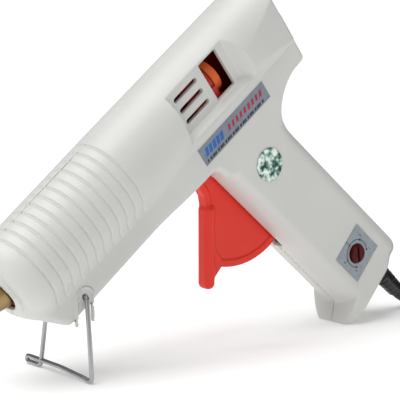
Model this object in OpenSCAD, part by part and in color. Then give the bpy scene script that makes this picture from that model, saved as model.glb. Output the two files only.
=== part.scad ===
// Hot-melt glue gun standing on its wire stand and on the lip of its handle.
// Its pieces are drawn with the barrel level, nose at x = 0, axis along +x and y across the width,
// with the window, the labels and the dial on the -y side. standing() then tilts them nose down.

/* [Barrel] */
// Outer radius of the barrel behind its grooves
barrel_r = 19.4; // [19.2:0.1:19.8]
// Outer radius of the barrel at its front groove
barrel_front_r = 18.9; // [18.7:0.1:19.1]
// Length of the casing from its nose to its rear face
casing_len = 175.5; // [174:0.5:177]
// Thickness of the casing's walls
wall = 2.4; // [2.2:0.1:2.5]
// Number of cooling grooves round the barrel
groove_count = 12; // [8:1:12]
// Spacing of the cooling grooves
groove_pitch = 5; // [4.8:0.1:5]
// Depth of each cooling groove
groove_depth = 0.5; // [0.3:0.1:0.7]
// Nose-down tilt of the barrel when the gun stands
nose_down = 37.3; // [37.1:0.1:37.5]

/* [Keel and handle] */
// Half width of the keel under the barrel
keel_half = 12.2; // [12:0.1:12.4]
// Half width of the handle
handle_half = 15.3; // [15.2:0.1:15.6]
// Height of the keel's underside from the barrel's axis
keel_z = -28.2; // [-28.6:0.1:-28]

/* [Trigger] */
// Travel of the trigger in degrees
trigger_travel = 24; // [18:1:24]
// Radius of the trigger's fan
fan_r = 38; // [37:0.5:38]
// Thickness of the trigger's fan
fan_t = 5; // [4:0.5:5]

/* [Stand] */
// Radius of the stand's wire
wire_r = 1; // [0.9:0.05:1]
// How far the foot stands forward of the stand's pivot
foot_forward = 1.2; // [0.8:0.1:1.6]

/* [Glue stick] */
// Radius of the hole that takes the glue stick
stick_bore_r = 5.9; // [5.8:0.05:6]

/* [Mains cord] */
// Radius of the mains cord
cord_r = 3.25; // [3.2:0.05:3.25]

/* [Hidden] */
$fn = 48;

// Colours
white = [0.90, 0.90, 0.88];
orange_red = [0.88, 0.22, 0.10];
brass = [0.75, 0.58, 0.28];
steel = [0.75, 0.75, 0.77];
aluminium = [0.72, 0.73, 0.75];
black = [0.12, 0.12, 0.13];
label_blue = [0.55, 0.60, 0.68];

// Handle: its front runs down from front_at, leaning back by handle_lean
front_at = [109.2, -35];
handle_lean = 12.4;
handle_depth = 39.8;
back_corner_r = 8;              // rounding of the handle's back corners
front_round = 7;                // depth of the rounding across the handle's front
lip_reach = 20.5;               // depth of the rounding across the lip

// Side outline of keel and handle: corner points, counterclockwise, and each corner's radius
corners = [
    [1.2, 4], [1.2, -13.5], [12, keel_z],
    [front_at[0] - (keel_z - front_at[1]) * tan(handle_lean), keel_z],
    [131.6, -137], [120.4, -146.8], [172.1, -135.7], [146.6, -23.6],
    [casing_len, -23.6], [casing_len, 4]
];
corner_r = [0, 3, 2.5, 5, 2.5, 1.7, 6, 18.7, 3, 0];
lip = 5;                        // the lip's place in that list

// Half width of keel and handle along the barrel, as [x, half width]
plan = [
    [1.2, 9.5], [6, 11.6], [10, keel_half], [62, keel_half], [74, keel_half + 0.5],
    [88, handle_half - 0.7], [100, handle_half], [casing_len, handle_half]
];

// Barrel: nose, grooves and the narrowing of its sides towards the rear
nose_hole_r = 8.2;
groove_x0 = 13;                 // centre of the front groove
groove_w = 0.9;
taper_end = 75;                 // where the barrel reaches its full radius
narrow_from = 138;
narrow_run = casing_len - narrow_from;
narrow_by = barrel_r - handle_half - 0.1;
narrow_r = (narrow_run * narrow_run + narrow_by * narrow_by) / (2 * narrow_by);

// Standing place: the ground flat on the lip's tip has its middle at the origin
lip_flat = 0.6;
lip_r = corner_r[lip];
lip_raw = tilted(fillet_centre(corners, corner_r, lip));
base_x = -lip_raw[0];
base_z = lip_r - lip_flat - lip_raw[1];

// Window pocket in the left side
pocket_y = -13.2;
pocket_x = [101.5, 142.4];
pocket_low = -8.4;
window_x = [126.5, 138];
window_z = [-6, 13.3];
slot_z = [9.6, 3.85, -1.9];
slot_x = [108.5, 121.4];
slot_r = 1.1;

// Casing screws as [x, z, y of the head's seat]
screws = [
    [13.5, -19.5, 5], [84, -21.5, 6], [90, 12.9, 7], [158, 12.9, 7],
    [163, -14.5, 8], [134, -88, 8], [152, -74.5, 8], [138, -132, 8]
];
boss_r = 4.2;

// Mechanism
gap = 0.05;                     // radial clearance of a running pin
pivot = [118, -47];
pin_r = 2;
hub_r = 3;
arm_len = 34;
arm_lean = trigger_travel / 2;
drive_at = pivot + arm_len * [sin(arm_lean), cos(arm_lean)];
drive_r = 1.5;
cheek = [2.6, 4.6];             // inner and outer face of the arm's cheeks
carriage_x = [116, 131];
clamp_at = [133.4, -10.5];
lever_r = 2.75;
lever_top = [99.9, -47.8];
lever_foot = [80.4, -73.5];
arm_top_r = 24;                 // radius of the fan's upper part
hook_at = pivot + 17 * [sin(arm_lean), cos(arm_lean)];
post_at = [146.5, hook_at[1]];

// Stand
stand_pivot = [24.2, -23.1];
leg_y = keel_half + wire_r + 0.4;
foot_y = 17.9;
loop_y = 28;

// Dial and cord entry, on the handle's end face
dial_at = [146.2, -116.4];
knob_r = 4.3;
exit_at = [159.9, -138.1];
relief_len = 25;
relief_in = 6;
board_y = -4;                   // left face of the control board
board_t = 1.5;

// Cord on the table, in standing coordinates: a hank of stacked turns, the plug lying on it
hank_x = [75, 179];             // centres of the hank's round ends
hank_y = -17.4;
hank_r = 20;                    // radius of the turns' middle line
hank_z = [0.6, 26.6];
cord_route = [
    standing_point(exit_at + relief_len * [sin(handle_lean), -cos(handle_lean)]),
    [46.2, 0, 6.9], [50.5, 0.2, 4.9], [55, 0.7, 3.7], [60, 1.5, 3.4]
];
end_route = [
    [148, -33.1, 26.4], [141, -29, 28.8], [134, -24, 31.2],
    [127, -19.9, 32.9], [121, -18, 33.5], [117, -17.4, 33.6]
];
plug_at = [117, hank_y, 33.6];
plug_half_t = 6.85;
pin_half_pitch = 9.25;

// ---- helpers ----

function unit(v) = v / norm(v);
function left(v) = [-v[1], v[0]];
function cross2(a, b) = a[0] * b[1] - a[1] * b[0];
function before(pts, i) = pts[(i + len(pts) - 1) % len(pts)];
function after(pts, i) = pts[(i + 1) % len(pts)];

// Where the line through a along u meets the line through b along v
function meet(a, u, b, v) = a + u * (cross2(b - a, v) / cross2(u, v));

// Counterclockwise outline moved inwards by g
function inset(pts, g) = [
    for (i = [0:len(pts) - 1])
        let (u = unit(pts[i] - before(pts, i)), v = unit(after(pts, i) - pts[i]))
        meet(pts[i] + g * left(u), u, pts[i] + g * left(v), v)
];

// Centre of the arc of radius radii[i] that rounds corner i
function fillet_centre(pts, radii, i) =
    let (u = unit(before(pts, i) - pts[i]), v = unit(after(pts, i) - pts[i]), half = acos(u * v) / 2)
    pts[i] + unit(u + v) * (radii[i] / sin(half));

// 1 at a corner that points outwards, -1 at a hollow one
function turn(pts, i) = sign(cross2(pts[i] - before(pts, i), after(pts, i) - pts[i]));

// Outline with an arc of radius radii[i] in each corner
function rounded(pts, radii, steps = 6) = [
    for (i = [0:len(pts) - 1])
        if (radii[i] == 0) pts[i]
        else let (
                c = fillet_centre(pts, radii, i),
                u = unit(before(pts, i) - pts[i]),
                v = unit(after(pts, i) - pts[i]),
                touch = pts[i] + u * ((c - pts[i]) * u) - c,
                start = atan2(touch[1], touch[0]),
                sweep = turn(pts, i) * (180 - acos(u * v))
            )
            for (k = [0:steps]) about(c, radii[i], start + sweep * k / steps)
];

// Corner radii of that outline moved inwards by g
function inset_radii(pts, radii, g) = [
    for (i = [0:len(pts) - 1])
        radii[i] == 0 ? 0 : turn(pts, i) > 0 ? max(radii[i] - g, 0.4) : radii[i] + g
];

function about(c, r, a) = c + r * [cos(a), sin(a)];

// Point or direction [x, z] of the level gun after the tilt
function tilted(p) = [
    p[0] * cos(nose_down) - p[1] * sin(nose_down),
    p[0] * sin(nose_down) + p[1] * cos(nose_down)
];
function standing_point(p) = [tilted(p)[0] + base_x, 0, tilted(p)[1] + base_z];

module standing() translate([base_x, 0, base_z]) rotate([0, -nose_down, 0]) children();

// Frame on the handle's front edge: z up along it, x into the handle
module on_front() translate([front_at[0], 0, front_at[1]]) rotate([0, -handle_lean, 0]) children();

// Frame on the handle's end face: z outwards along the cord, x towards the handle's front
module on_exit() translate([exit_at[0], 0, exit_at[1]]) rotate([0, 180 - handle_lean, 0]) children();

// Extrudes an [x, z] outline across the width from y0 to y1
module across(y0, y1) translate([0, y1, 0]) rotate([90, 0, 0]) linear_extrude(y1 - y0) children();

// Cylinder across the width through at = [x, z]
module cross_cyl(at, r, y0, y1) translate([at[0], y1, at[1]]) rotate([90, 0, 0]) cylinder(h = y1 - y0, r = r);

// Cylinder along the barrel, its axis at height z
module long_cyl(x0, x1, r, z = 0) translate([x0, 0, z]) rotate([0, 90, 0]) cylinder(h = x1 - x0, r = r);

module long_ring(x0, x1, r_out, r_in) difference() {
    long_cyl(x0, x1, r_out);
    long_cyl(x0 - 1, x1 + 1, r_in);
}

// Turns an outline of [radius, x] points about the barrel's axis
module turned() rotate([0, 90, 0]) rotate_extrude() children();

// Cylinder on the current frame's z axis from z0 to z1
module post(r, z0, z1) translate([0, 0, z0]) cylinder(h = z1 - z0, r = r);

// Round-ended bar between two [x, z] points at width y
module bar(a, b, y, r) {
    d = b - a;
    translate([a[0], y, a[1]]) rotate([0, atan2(d[0], d[1]), 0]) cylinder(h = norm(d), r = r);
    for (p = [a, b]) translate([p[0], y, p[1]]) sphere(r = r);
}

// Tube of radius r swept along points
module swept(points, r, sides = 8) {
    n = len(points);
    rings = [
        for (i = [0:n - 1])
            let (
                t = unit(points[min(i + 1, n - 1)] - points[max(i - 1, 0)]),
                s = unit(cross(t, abs(t[2]) < 0.9 ? [0, 0, 1] : [0, 1, 0])),
                w = cross(s, t)
            )
            for (k = [0:sides - 1]) points[i] + r * (cos(360 * k / sides) * s + sin(360 * k / sides) * w)
    ];
    walls = [
        for (i = [0:n - 2], k = [0:sides - 1])
            let (a = i * sides + k, b = i * sides + (k + 1) % sides)
            for (f = [[a, b, a + sides], [b, b + sides, a + sides]]) f
    ];
    ends = [[for (k = [sides - 1:-1:0]) k], [for (k = [0:sides - 1]) (n - 1) * sides + k]];
    polyhedron(points = rings, faces = concat(walls, ends));
}

// ---- casing ----

function groove_r(x) =
    barrel_front_r + (barrel_r - barrel_front_r) * (x - groove_x0) / (taper_end - groove_x0);

// [radius, x] outline of the barrel, set back by g
function barrel_outline(g) = concat(
    [[0, g], [nose_hole_r + 3.4 - g / 2, g]],
    [for (a = [0:15:90]) [12 - g + (barrel_front_r - 12) * sin(a), 1.5 + g + (10.5 - g) * (1 - cos(a))]],
    g > 0 ? [] : [
        for (i = [0:groove_count - 1])
            let (x = groove_x0 + i * groove_pitch, r = groove_r(x))
            for (p = [[0, -1], [1, -1], [1, 1], [0, 1]]) [r - groove_depth * p[0], x + groove_w / 2 * p[1]]
    ],
    [[barrel_r - g, taper_end], [barrel_r - g, casing_len - g - 1.5], [barrel_r - g - 1.5, casing_len - g]],
    [[0, casing_len - g]]
);

// Half width of the barrel at x, narrowing in an arc towards the rear
function barrel_half(x) = barrel_r - narrow_r + sqrt(narrow_r * narrow_r - pow(x - narrow_from, 2));
narrow_steps = [for (k = [1:5]) narrow_from + narrow_run * k / 5];

module barrel_solid(g) intersection() {
    turned() polygon(barrel_outline(g));
    translate([0, 0, -25]) linear_extrude(50) polygon(concat(
        [[-1, -barrel_r - 1], [narrow_from - 2, g - barrel_r - 0.3]],
        [for (x = narrow_steps) [x, g - barrel_half(x)]],
        [for (k = [4:-1:0]) [narrow_steps[k], barrel_half(narrow_steps[k]) - g]],
        [[narrow_from - 2, barrel_r + 0.3 - g], [-1, barrel_r + 1]]
    ));
}

// Cross-section of the handle, x from its front edge inwards; body_solid() cuts its sides flat
module handle_section(g) {
    half = handle_half + 0.05 - g;
    r = back_corner_r - g;
    polygon(concat(
        [for (a = [-90:15:90]) [g + front_round * (1 - cos(a)), half * sin(a)]],
        [for (a = [90:-18:0]) [handle_depth - g - r + r * cos(a), half - r + r * sin(a)]],
        [for (a = [0:-18:-90]) [handle_depth - g - r + r * cos(a), r - half + r * sin(a)]]
    ));
}

// Rounded end of the lip, ahead of the handle's front edge
module lip_section(g) intersection() {
    scale([(lip_reach - g) / (handle_half + 0.05 - g), 1]) circle(r = handle_half + 0.05 - g);
    translate([-30, -20]) square([32, 40]);
}

module handle_rounding(g) {
    on_front() translate([0, 0, -125]) linear_extrude(120) handle_section(g);
    translate([0, -30, -42]) cube([200, 60, 60]);
    on_front() translate([front_round + g / 2, 0, -122]) linear_extrude(27) lip_section(g);
}

module body_solid(g) intersection() {
    across(-30, 30) polygon(rounded(inset(corners, g), inset_radii(corners, corner_r, g)));
    translate([0, 0, -160]) linear_extrude(170) polygon(concat(
        [for (p = plan) [p[0], g - p[1]]],
        [for (i = [len(plan) - 1:-1:0]) [plan[i][0], plan[i][1] - g]]
    ));
    handle_rounding(g);
}

module solid_casing(g) {
    barrel_solid(g);
    body_solid(g);
}

// Everything below the table, in the level gun's frame
module below_table() rotate([0, nose_down, 0]) translate([-300, -60, -base_z - 80]) cube([600, 120, 80]);

// Bosses for the screws, the trigger's pin and the spring's post, and ribs that hold the heater's brackets
module bosses() {
    for (s = screws) cross_cyl([s[0], s[1]], boss_r, -20, 20);
    cross_cyl(pivot, boss_r, -20, 20);
    cross_cyl(post_at, 3.2, -20, 20);
    intersection() {
        for (x = [13.3, 17.7, 60.3, 64.7]) long_ring(x, x + 2, 18, 14.5);
        translate([0, -20, -10]) cube([80, 40, 30]);
    }
}

// Guide rails under the carriage, one on each side of its lug
module rails() for (s = [-1, 1]) translate([98, s * 9.6 - 3.6, -10.8]) cube([42, 7.2, 2]);

module boss_space() {
    cross_cyl(pivot, 12, -cheek[1] - 0.4, cheek[1] + 0.4);
    cross_cyl(post_at, 4, -4, 4);
}

// Arch of the rim round the stand's leg, open along the leg
module leg_arch(r) {
    circle(r = r);
    rotate(-90 - nose_down) translate([0, -r]) square([12, 2 * r]);
}

module leg_rims() for (s = [-1, 1]) {
    y = s * (keel_half + 0.1);
    translate([stand_pivot[0], 0, stand_pivot[1]]) across(y - 0.2, y + 0.2) difference() {
        leg_arch(4.6);
        leg_arch(3.4);
    }
}

module window_cut() {
    across(-30, pocket_y) polygon([
        [pocket_x[0], pocket_low], [pocket_x[1], pocket_low], [pocket_x[1], 22], [pocket_x[0], 22]
    ]);
    translate([pocket_x[1], 0, pocket_low]) linear_extrude(30)
        polygon([[-1, pocket_y], [0, pocket_y], [9, pocket_y - 11.8], [-1, pocket_y - 11.8]]);
    across(-20, -8) {
        translate([window_x[0], window_z[0]]) square([window_x[1] - window_x[0], window_z[1] - window_z[0]]);
        for (z = slot_z) {
            translate([slot_x[0], z - slot_r]) square([slot_x[1] - slot_x[0], 2 * slot_r]);
            for (x = slot_x) translate([x, z]) circle(r = slot_r);
        }
    }
}

module trigger_slot() {
    half = fan_t / 2 + 0.5;
    across(-half, half) {
        translate([95.5, -34]) square([16, 9]);
        translate(front_at) rotate(handle_lean) translate([-6, -57]) square([11, 60]);
    }
}

module shared_cuts() {
    long_cyl(-5, 10, nose_hole_r);
    long_cyl(casing_len - 8, casing_len + 5, 9.1);
    trigger_slot();
    cross_cyl(pivot, pin_r + gap, -13, 13);
    cross_cyl(post_at, 1.25, -13, 13);
    cross_cyl(stand_pivot, wire_r + gap, -20, 20);
    on_exit() post(4.1, -8, 12);
}

module shell(keep_y) difference() {
    intersection() {
        union() {
            difference() {
                solid_casing(0);
                solid_casing(wall);
            }
            intersection() {
                solid_casing(0);
                difference() {
                    union() {
                        bosses();
                        rails();
                    }
                    boss_space();
                }
            }
            leg_rims();
        }
        translate([-5, keep_y, -160]) cube([200, 40, 200]);
    }
    shared_cuts();
    below_table();
}

module casing_left() color(white) standing() difference() {
    union() {
        shell(-40);
        intersection() {
            barrel_solid(0);
            translate([98, pocket_y, -10]) cube([52, 2.2, 27]);
        }
        on_exit() for (p = board_holes)
            translate([p[0], board_y, p[1]]) rotate([90, 0, 0]) cylinder(h = 9.6, r = 2.4);
    }
    window_cut();
    cross_cyl(dial_at, knob_r + 0.3, -20, -10);
    for (s = screws) cross_cyl([s[0], s[1]], 1.5, -9, 1);
}

module casing_right() color(white) standing() difference() {
    shell(0);
    for (s = screws) {
        cross_cyl([s[0], s[1]], 1.6, -1, 20);
        cross_cyl([s[0], s[1]], 3.1, s[2], 25);
    }
}

module casing_screws() color(steel) standing() for (s = screws) {
    cross_cyl([s[0], s[1]], 1.45, -8, s[2]);
    difference() {
        cross_cyl([s[0], s[1]], 2.8, s[2], s[2] + 2);
        translate([s[0] - 0.4, s[2] + 1, s[1] - 1.8]) cube([0.8, 2, 3.6]);
        translate([s[0] - 1.8, s[2] + 1, s[1] - 0.4]) cube([3.6, 2, 0.8]);
    }
}

// ---- heating end ----

module nozzle() color(brass) standing() difference() {
    union() {
        turned() polygon([[0, -14], [2.2, -14], [6, -1.5], [6.3, 0], [6.3, 1.5], [0, 1.5]]);
        long_cyl(1.4, 11, 3.4);
        translate([1.4, 0, 0]) rotate([0, 90, 0]) cylinder(h = 2.6, r = 7, $fn = 6);
    }
    long_cyl(-20, 20, 0.9);
    long_cyl(-4, 20, 2.3);
}

module valve_ball() color(steel) standing() translate([-2.2, 0, 0]) sphere(r = 1.9);

module valve_spring() color(steel) standing()
    swept([for (a = [0:30:1800]) [8 * a / 1800, 1.7 * cos(a), 1.7 * sin(a)]], 0.25, 6);

module nose_seal() color("indianred") standing() long_ring(2.5, 4, 9.2, 7.2);

module melt_chamber() color(aluminium) standing() difference() {
    union() {
        long_cyl(4.1, 66, 8.6);
        long_cyl(66, 74, 6.85);
        translate([20, -7.5, -17]) cube([40, 15, 12]);
    }
    long_cyl(3, 12, 3.5);
    long_cyl(11, 75, stick_bore_r);
    translate([18, -6, -15.5]) cube([44, 12, 4]);
}

module heater_plate() color([0.85, 0.84, 0.8]) standing()
    translate([19.5, -5.8, -15.4]) cube([41, 11.6, 3.8]);

// Fibre bracket that carries the hot chamber in the casing
module bracket(x) color([0.55, 0.35, 0.2]) standing() difference() {
    intersection() {
        long_cyl(x, x + 2, 16.2);
        translate([x - 1, -17, -14]) cube([4, 34, 32]);
    }
    long_cyl(x - 1, x + 3, 8.7);
}
module front_bracket() bracket(15.5);
module rear_bracket() bracket(62.5);

module thermal_fuse() color(steel) standing() long_cyl(36, 48, 2, 10.7);
module temperature_sensor() color([0.2, 0.2, 0.22]) standing() long_cyl(24, 31, 1.6, 10.3);

// Route of the heater's upper lead, from the terminal block to the heater plate
lead_route = [
    [153.4, 2, -106.5], [152.6, 2.4, -103], [149, 5, -95], [144.5, 7.5, -84], [141, 8, -72], [138, 8, -58],
    [133, 8, -44], [127, 8, -33], [119, 8, -21], [110, 8, -16.5], [96, 8, -15], [82, 7.6, -15],
    [73, 6.5, -16], [66, 4.4, -16], [60.9, 3, -15]
];
module heater_leads() color([0.85, 0.85, 0.8]) standing() for (shift = [0, -2])
    translate([0, shift, 0]) swept(lead_route, 0.8);

// ---- feed path ----

module feed_sleeve() color([0.75, 0.2, 0.15]) standing() difference() {
    long_cyl(67, 97, 7.8);
    long_cyl(66, 74, 6.9);
    long_cyl(66, 98, stick_bore_r);
}

module sleeve_clamp() color(steel) standing() long_ring(69.5, 72, 8.6, 7.85);

module rear_guide() color(black) standing() difference() {
    union() {
        long_cyl(casing_len - 7.9, casing_len - 0.3, 9);
        long_cyl(casing_len - 9.5, casing_len - 7.9, 11);
    }
    long_cyl(casing_len - 12, casing_len + 5, stick_bore_r);
}

module carriage() color(orange_red) standing() difference() {
    union() {
        long_cyl(carriage_x[0], carriage_x[1], 8.6);
        translate([carriage_x[0], -9.5, -8.5]) cube([carriage_x[1] - carriage_x[0], 19, 7]);
        translate([drive_at[0] - 4, -2.2, -17]) cube([8, 4.4, 10]);
        for (s = [-1, 1]) translate([0, s * 4.6 - 1, -12.7]) {
            translate([129, 0, 0]) cube([2, 2, 7]);
            translate([129, 0, 0]) cube([6.6, 2, 3.4]);
        }
    }
    long_cyl(100, 150, 6.4);
    translate([drive_at[0] - drive_r - 0.15, -5, -15.6]) cube([2 * drive_r + 0.3, 10, 4.6]);
    cross_cyl(clamp_at, 1.05, -10, 10);
}

module stick_clamp() color([0.35, 0.12, 0.1]) standing() difference() {
    union() {
        long_cyl(131.7, 135.5, 8.8);
        translate([131.7, -3.4, -13]) cube([3.8, 6.8, 7]);
    }
    long_cyl(120, 150, 6.5);
    cross_cyl(clamp_at, 1.05, -10, 10);
}

module clamp_pin() color(steel) standing() cross_cyl(clamp_at, 1, -5.6, 5.6);

// ---- trigger ----

module trigger_side() polygon(concat(
    [for (a = [135:-9:90]) about(pivot, arm_top_r, a)],
    [pivot + [5, 4], pivot + [5, -4]],
    [for (a = [292:-5:222]) about(pivot, fan_r, a)],
    [lever_foot + [3.5, 0], lever_foot, lever_top + [-0.4, 3.2], [101.5, -40.6], [101.7, -36]]
));

// Outline of one cheek of the trigger's upper arm
module arm_side() {
    side = 3 * left(unit(drive_at - pivot));
    polygon([pivot + side, pivot - side, drive_at - side, drive_at + side]);
    translate(drive_at) circle(r = 3);
}

module trigger() color(orange_red) standing() difference() {
    union() {
        across(-fan_t / 2, fan_t / 2) trigger_side();
        for (s = [-1, 1]) {
            bar(lever_top, lever_foot, s * 1.25, lever_r);
            middle = s * (cheek[0] + cheek[1]) / 2;
            across(middle - 1, middle + 1) arm_side();
        }
        cross_cyl(pivot, hub_r, -cheek[1], cheek[1]);
        cross_cyl(hook_at, 1, -cheek[1], cheek[1]);
    }
    cross_cyl(pivot, pin_r + gap, -10, 10);
    cross_cyl(drive_at, drive_r + 0.02, -10, 10);
}

module drive_pin() color(steel) standing() cross_cyl(drive_at, drive_r, -cheek[1], cheek[1]);
module trigger_pin() color(steel) standing() cross_cyl(pivot, pin_r, -12.8, 12.8);
module spring_post() color(steel) standing() cross_cyl(post_at, 1.2, -12.8, 12.8);

module return_spring() color(steel) standing() {
    from = hook_at[0] + 1.3;
    run = post_at[0] - 1.5 - from;
    swept([
        for (a = [0:45:3240]) [from + run * a / 3240, 1.8 * cos(a), hook_at[1] + 1.8 * sin(a)]
    ], 0.35, 6);
}

// ---- stand ----

module stand() color([0.8, 0.8, 0.82]) {
    top = standing_point(stand_pivot);
    foot_x = top[0] - foot_forward;
    route = concat(
        [[top[0], keel_half - 3, top[2]]],
        [for (a = [0:30:90]) [top[0], leg_y - 1.2 + 1.2 * sin(a), top[2] - 1.2 + 1.2 * cos(a)]],
        [[foot_x, foot_y, wire_r + 1.4], [foot_x, foot_y + 0.5, wire_r + 0.4]],
        [[foot_x, foot_y + 1.6, wire_r], [foot_x, loop_y - 1, wire_r]],
        [for (a = [-60:30:60]) [foot_x, loop_y - 1 + 1.3 * cos(a), wire_r + 1.2 + 1.2 * sin(a)]],
        [[foot_x, loop_y - 2, wire_r + 2.4], [foot_x, 4, wire_r + 2]],
        [[foot_x, -foot_y + 5, wire_r + 0.6], [foot_x, -foot_y + 1.6, wire_r]],
        [[foot_x, -foot_y + 0.5, wire_r + 0.4], [foot_x, -foot_y, wire_r + 1.4]],
        [for (a = [90:-30:0]) [top[0], -leg_y + 1.2 - 1.2 * sin(a), top[2] - 1.2 + 1.2 * cos(a)]],
        [[top[0], 3 - keel_half, top[2]]]
    );
    swept(route, wire_r, 12);
}

// ---- dial and electronics ----

module temperature_knob() color([0.55, 0.05, 0.05]) standing() difference() {
    union() {
        cross_cyl(dial_at, knob_r, -16.8, -10);
        cross_cyl(dial_at, 6.2, -12.6, -11);
    }
    translate([dial_at[0], 0, dial_at[1]]) rotate([0, 30, 0])
        translate([-0.6, -18, -3.4]) cube([1.2, 2.2, 6.8]);
    cross_cyl(dial_at, 1.55, -15, -9);
}

module potentiometer() color([0.3, 0.3, 0.33]) standing() {
    cross_cyl(dial_at, 6.5, -9.6, board_y);
    cross_cyl(dial_at, 1.5, -14.5, -9.6);
}

// A box on the board, by its corner and size in the end face's frame
module on_board(x, z, size) standing() on_exit() translate([x, board_y + board_t, z]) cube(size);

board_holes = [[17.5, -18.5], [17.5, -37.5], [-4, -37.5]];
module control_board() color([0.15, 0.4, 0.2]) standing() on_exit() difference() {
    translate([-6, board_y, -40]) cube([26, board_t, 24]);
    for (p = board_holes) translate([p[0], 0, p[1]]) rotate([90, 0, 0]) cylinder(h = 10, r = 1.2);
}

module board_screws() color(steel) standing() on_exit() for (p = board_holes)
    translate([p[0], board_y + board_t + 1.3, p[1]]) rotate([90, 0, 0]) cylinder(h = 1.3, r = 2.2);

module triac() color(black) on_board(8, -30, [9, 4.4, 9]);
module capacitor() color([0.75, 0.6, 0.2]) on_board(3.5, -39, [11, 6, 7.5]);
module terminal_block() color([0.9, 0.9, 0.86]) on_board(-4, -32, [7, 7, 14]);

module supply_wires() color("royalblue") standing() on_exit() for (s = [-1, 1])
    translate([1.4 * s, 0.6, 0]) post(0.8, -18, -13);

module inner_sheath() color(black) standing() on_exit() post(cord_r, -13, -relief_in);

module cord_clamp() color([0.85, 0.85, 0.82]) standing() on_exit()
    translate([-7.4, cord_r + 0.1, -12.5]) cube([14.8, 2.4, 5]);

module clamp_screws() color(steel) standing() on_exit() for (s = [-1, 1])
    translate([5.4 * s, cord_r + 4, -10]) rotate([90, 0, 0]) cylinder(h = 1.5, r = 1.8);

// Ribs of the strain relief as [radius, distance from the end face]
rib_count = 7;
module relief_side() polygon(concat(
    [[0, -0.3], [4, -0.3], [4, 0.3]],
    [
        for (i = [0:rib_count - 1], p = [[5, 0.3], [5, 2.1], [4.2, 2.1], [4.2, 3.3]])
            [p[0] - 0.14 * i, p[1] + 3 * i]
    ],
    [[3.9, relief_len], [0, relief_len]]
));

module strain_relief() color(black) standing() on_exit() difference() {
    union() {
        post(6, -relief_in, -3);
        post(4, -3, 0);
        rotate_extrude() relief_side();
    }
    post(cord_r, -relief_in - 1, relief_len - 6);
}

// ---- cord ----

module mains_cord() color(black) swept(cord_route, cord_r, 10);
module cord_end() color(black) swept(end_route, cord_r, 10);

// Outline of the hank seen from above, r from the middle of its ends
module hank_outline(r) hull() for (x = hank_x) translate([x, hank_y]) circle(r = r);

module cord_hank() color(black) translate([0, 0, hank_z[0]])
    linear_extrude(hank_z[1] - hank_z[0]) difference() {
        hank_outline(hank_r + cord_r);
        hank_outline(hank_r - cord_r);
    }

// Strap round the hank's turns
module cord_tie() color([0.2, 0.2, 0.2]) difference() {
    half = hank_r + cord_r;
    translate([167, hank_y - half - 0.9, 0]) cube([8, 2 * half + 1.8, hank_z[1] + 0.9]);
    translate([166, hank_y - half, hank_z[0]]) cube([10, 2 * half, hank_z[1] - hank_z[0]]);
}

// Flat plug lying on the hank, pins towards -x
module plug_body() color(black) translate(plug_at) {
    rotate([0, -90, 0]) cylinder(h = 17, r = 4.6);
    translate([0, 0, -plug_half_t]) linear_extrude(2 * plug_half_t) polygon([
        [-16, -7], [-24, -17.6], [-40, -17.6], [-52, -11], [-52, 11], [-40, 17.6], [-24, 17.6], [-16, 7]
    ]);
}

module plug_pins() color(brass) translate(plug_at) for (s = [-1, 1])
    translate([-52, pin_half_pitch * s, 0]) rotate([0, -90, 0]) cylinder(h = 19, r = 2);

// ---- labels ----

module name_label() color(label_blue) standing()
    translate([103.2, -handle_half - 0.2, -22.4]) cube([45.4, 0.2, 8.6]);

module seal_sticker() color([0.5, 0.65, 0.58]) standing()
    cross_cyl([130.5, -46.2], 7.4, -handle_half - 0.2, -handle_half);

module dial_label() color(label_blue) standing() difference() {
    translate([dial_at[0], -handle_half - 0.2, dial_at[1]]) rotate([0, -handle_lean, 0])
        translate([-9.7, 0, -9.4]) cube([20.2, 0.2, 18.4]);
    cross_cyl(dial_at, knob_r + 0.5, -20, -10);
}

casing_left();
casing_right();
casing_screws();
nozzle();
valve_ball();
valve_spring();
nose_seal();
melt_chamber();
heater_plate();
front_bracket();
rear_bracket();
thermal_fuse();
temperature_sensor();
heater_leads();
feed_sleeve();
sleeve_clamp();
rear_guide();
carriage();
stick_clamp();
clamp_pin();
trigger();
drive_pin();
trigger_pin();
return_spring();
spring_post();
stand();
temperature_knob();
potentiometer();
control_board();
board_screws();
triac();
capacitor();
terminal_block();
supply_wires();
inner_sheath();
cord_clamp();
clamp_screws();
strain_relief();
mains_cord();
cord_hank();
cord_end();
cord_tie();
plug_body();
plug_pins();
name_label();
seal_sticker();
dial_label();
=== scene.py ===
"""Looks of a hot-melt glue gun, built in Blender 4.5 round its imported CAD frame.

The gun's shapes are written level, in millimetres: nose at x = 0, barrel axis along +x, width along y
with the window, labels and dial on the -y side. standing() tilts them nose down and places them in the
frame, in metres. Moulded parts are distance fields that mesh_of() turns into meshes.
"""

import math

import bpy
import numpy as np
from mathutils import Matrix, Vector


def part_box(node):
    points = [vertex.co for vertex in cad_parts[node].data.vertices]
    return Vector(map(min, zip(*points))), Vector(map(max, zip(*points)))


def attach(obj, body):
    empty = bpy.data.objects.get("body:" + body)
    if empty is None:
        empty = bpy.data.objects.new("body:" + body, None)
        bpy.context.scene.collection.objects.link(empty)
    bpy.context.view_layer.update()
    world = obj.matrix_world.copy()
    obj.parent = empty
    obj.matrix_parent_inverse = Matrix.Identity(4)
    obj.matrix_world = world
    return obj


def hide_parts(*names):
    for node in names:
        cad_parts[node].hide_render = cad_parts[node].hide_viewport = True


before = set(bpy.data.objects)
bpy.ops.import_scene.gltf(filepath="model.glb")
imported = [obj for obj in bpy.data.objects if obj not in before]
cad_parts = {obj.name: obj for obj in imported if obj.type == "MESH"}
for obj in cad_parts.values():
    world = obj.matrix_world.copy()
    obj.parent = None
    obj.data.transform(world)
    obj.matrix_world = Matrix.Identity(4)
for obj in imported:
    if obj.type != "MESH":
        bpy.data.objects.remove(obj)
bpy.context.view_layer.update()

MM = 0.001
TILT = math.radians(37.3)
LEAN = math.radians(12.4)
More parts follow.
